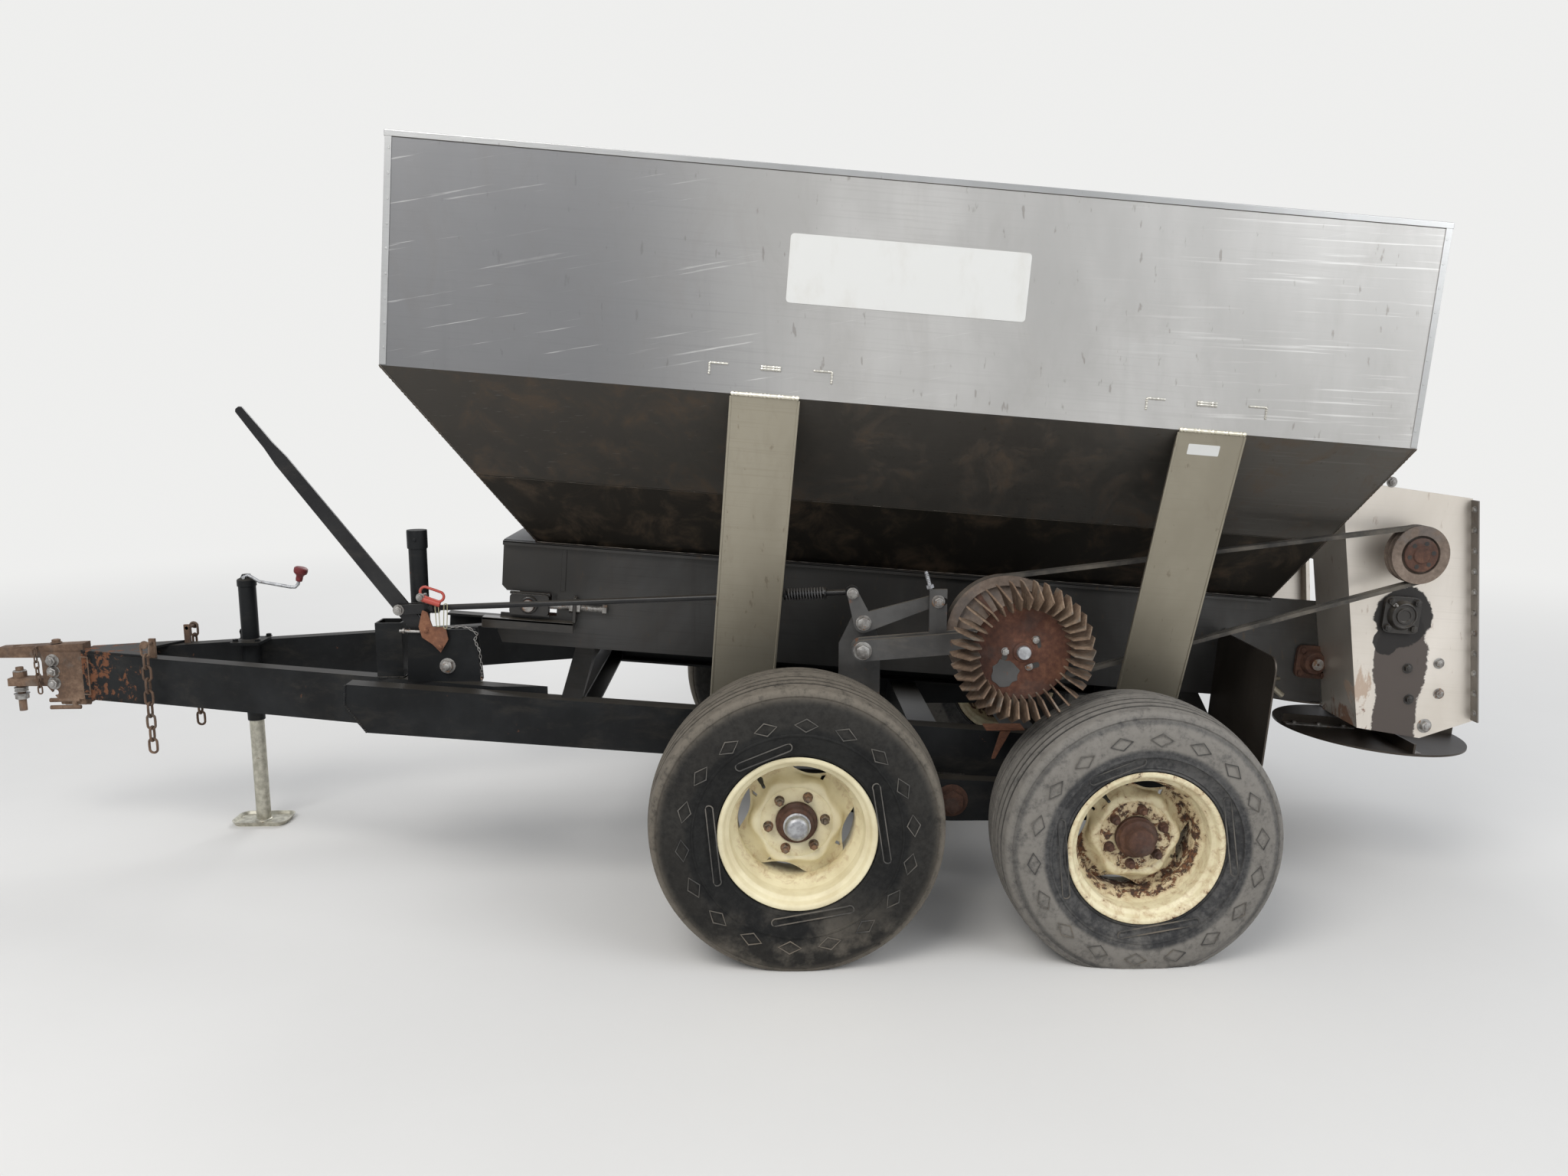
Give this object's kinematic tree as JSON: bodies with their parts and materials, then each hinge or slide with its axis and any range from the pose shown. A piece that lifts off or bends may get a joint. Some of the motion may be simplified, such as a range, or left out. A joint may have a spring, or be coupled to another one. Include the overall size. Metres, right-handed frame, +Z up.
{
  "type": "pull-type fertilizer spreader",
  "caption": "Towed bulk spreader: stainless V hopper over a floor conveyor, ground-driven by a cleated wheel and belts, twin spinners at the rear, tandem wheels, drawbar with jack.",
  "frame": {"origin": "on the ground, midway along the overall length and on the middle plane", "axes": "+X forward to the hitch, +Y to the left side, +Z up"},
  "size_m": [4.8011, 2.1324, 2.1531],
  "materials": {
    "tyre": "dusty black rubber",
    "rim": "cream paint, worn",
    "stainless": "weathered stainless sheet",
    "rusty_steel": "rusty bare steel",
    "zinc": "dull zinc plate",
    "belt": "worn black rubber",
    "frame_paint": "black paint, chipped and rusting"
  },
  "bodies": {
    "frame": {"walking_beam_left": "frame_paint", "walking_beam_right": "frame_paint", "centre_axle": "frame_paint", "side_rail_left": "frame_paint", "side_rail_right": "frame_paint", "cross_members": "frame_paint", "bolsters": "stainless", "tongue_rail_left": "frame_paint", "tongue_rail_right": "frame_paint", "nose_gussets": "frame_paint", "hitch_cheeks": "rusty_steel", "hitch_jaw": "rusty_steel", "drawpin": "rusty_steel", "jack_tube": "frame_paint", "drawbar_posts": "frame_paint", "quadrant_plates": "frame_paint", "drive_bracket": "rusty_steel", "hopper_front": "stainless", "hopper_rear": "stainless", "hopper_left": "stainless", "hopper_right": "stainless", "hopper_rim": "stainless", "leg_front_left": "stainless", "leg_rear_left": "stainless", "leg_front_right": "stainless", "leg_rear_right": "stainless", "trough": "stainless", "conveyor_chain": "rusty_steel", "conveyor_shafts": "rusty_steel", "take_ups": "rusty_steel", "housing_left": "stainless", "housing_right": "stainless", "rear_panel": "stainless", "flange_bearings": "rusty_steel", "spinner_gearboxes": "rusty_steel", "splash_plates": "stainless", "safety_chains": "zinc"},
    "wheel_front_left": {"tyre_front_left": "tyre", "wheel_front_left": "rim"},
    "wheel_front_right": {"tyre_front_right": "tyre", "wheel_front_right": "rim"},
    "wheel_rear_left": {"tyre_rear_left": "tyre", "wheel_rear_left": "rim"},
    "wheel_rear_right": {"tyre_rear_right": "tyre", "wheel_rear_right": "rim"},
    "jack_leg": {"jack_leg": "zinc"},
    "clutch_lever": {"clutch_lever": "frame_paint"},
    "clutch_rod": {"clutch_rod": "zinc"},
    "bell_crank": {"bell_crank": "rusty_steel"},
    "drive_arm": {"drive_arm": "rusty_steel"},
    "drive_wheel": {"drive_wheel": "rusty_steel", "drive_sheave": "rusty_steel"},
    "drive_belts": {"drive_belts": "belt"},
    "rear_pulley": {"rear_pulley": "rusty_steel"},
    "spinner_left": {"spinner_left": "stainless"},
    "spinner_right": {"spinner_right": "stainless"}
  },
  "joints": [
    {"name": "wheel_front_left_spin", "type": "hinge", "parent": "frame", "child": "wheel_front_left", "pos_m": [-0.25291, 0.907, 0.377], "axis": [0, 1, 0], "continuous": true},
    {"name": "wheel_front_right_spin", "type": "hinge", "parent": "frame", "child": "wheel_front_right", "pos_m": [-0.25291, -0.907, 0.377], "axis": [0, 1, 0], "continuous": true},
    {"name": "wheel_rear_left_spin", "type": "hinge", "parent": "frame", "child": "wheel_rear_left", "pos_m": [-1.16591, 0.907, 0.33], "axis": [0, 1, 0], "continuous": true},
    {"name": "wheel_rear_right_spin", "type": "hinge", "parent": "frame", "child": "wheel_rear_right", "pos_m": [-1.16591, -0.907, 0.33], "axis": [0, 1, 0], "continuous": true},
    {"name": "jack_leg_slide", "type": "slide", "parent": "frame", "child": "jack_leg", "axis": [0, 0, 1], "range_m": [0, 0.2]},
    {"name": "clutch_lever_throw", "type": "hinge", "parent": "frame", "child": "clutch_lever", "pos_m": [0.78059, 0.45, 0.7], "axis": [0, 1, 0], "range_deg": [0, 6]},
    {"name": "clutch_rod_pivot", "type": "hinge", "parent": "clutch_lever", "child": "clutch_rod", "pos_m": [0.91959, 0.45, 0.87], "axis": [0, 1, 0], "range_deg": [-6.01, 0]},
    {"name": "bell_crank_pivot", "type": "hinge", "parent": "frame", "child": "bell_crank", "pos_m": [-0.45341, 0.64, 0.859], "axis": [0, 1, 0], "range_deg": [0, 12.47]},
    {"name": "drive_arm_pivot", "type": "hinge", "parent": "frame", "child": "drive_arm", "pos_m": [-0.44541, 0.668, 0.792], "axis": [0, 1, 0], "range_deg": [0, 11.67]},
    {"name": "drive_belts_swing", "type": "hinge", "parent": "frame", "child": "drive_belts", "pos_m": [-2.04534, 0.63, 1.05013], "axis": [0, 1, 0], "range_deg": [-4.23, 0]},
    {"name": "drive_wheel_spin", "type": "hinge", "parent": "drive_arm", "child": "drive_wheel", "pos_m": [-0.86141, 0.91, 0.823], "axis": [0, 1, 0], "continuous": true},
    {"name": "rear_pulley_spin", "type": "hinge", "parent": "frame", "child": "rear_pulley", "pos_m": [-2.04534, 0.63, 1.05013], "axis": [0, 1, 0], "continuous": true},
    {"name": "spinner_left_spin", "type": "hinge", "parent": "frame", "child": "spinner_left", "pos_m": [-2.11603, 0.3, 0.43248], "axis": [-0.0802, 0, 0.9968], "continuous": true},
    {"name": "spinner_right_spin", "type": "hinge", "parent": "frame", "child": "spinner_right", "pos_m": [-2.11603, -0.3, 0.43248], "axis": [-0.0802, 0, 0.9968], "continuous": true}
  ],
  "couplings": [
    {"joint": "clutch_rod_pivot", "follows": "clutch_lever_throw", "ratio": -0.95167},
    {"joint": "bell_crank_pivot", "follows": "clutch_lever_throw", "ratio": 2.0276},
    {"joint": "drive_arm_pivot", "follows": "clutch_lever_throw", "ratio": 1.8952},
    {"joint": "drive_belts_swing", "follows": "clutch_lever_throw", "ratio": -0.65433},
    {"joint": "rear_pulley_spin", "follows": "drive_wheel_spin", "ratio": 2.121}
  ]
}
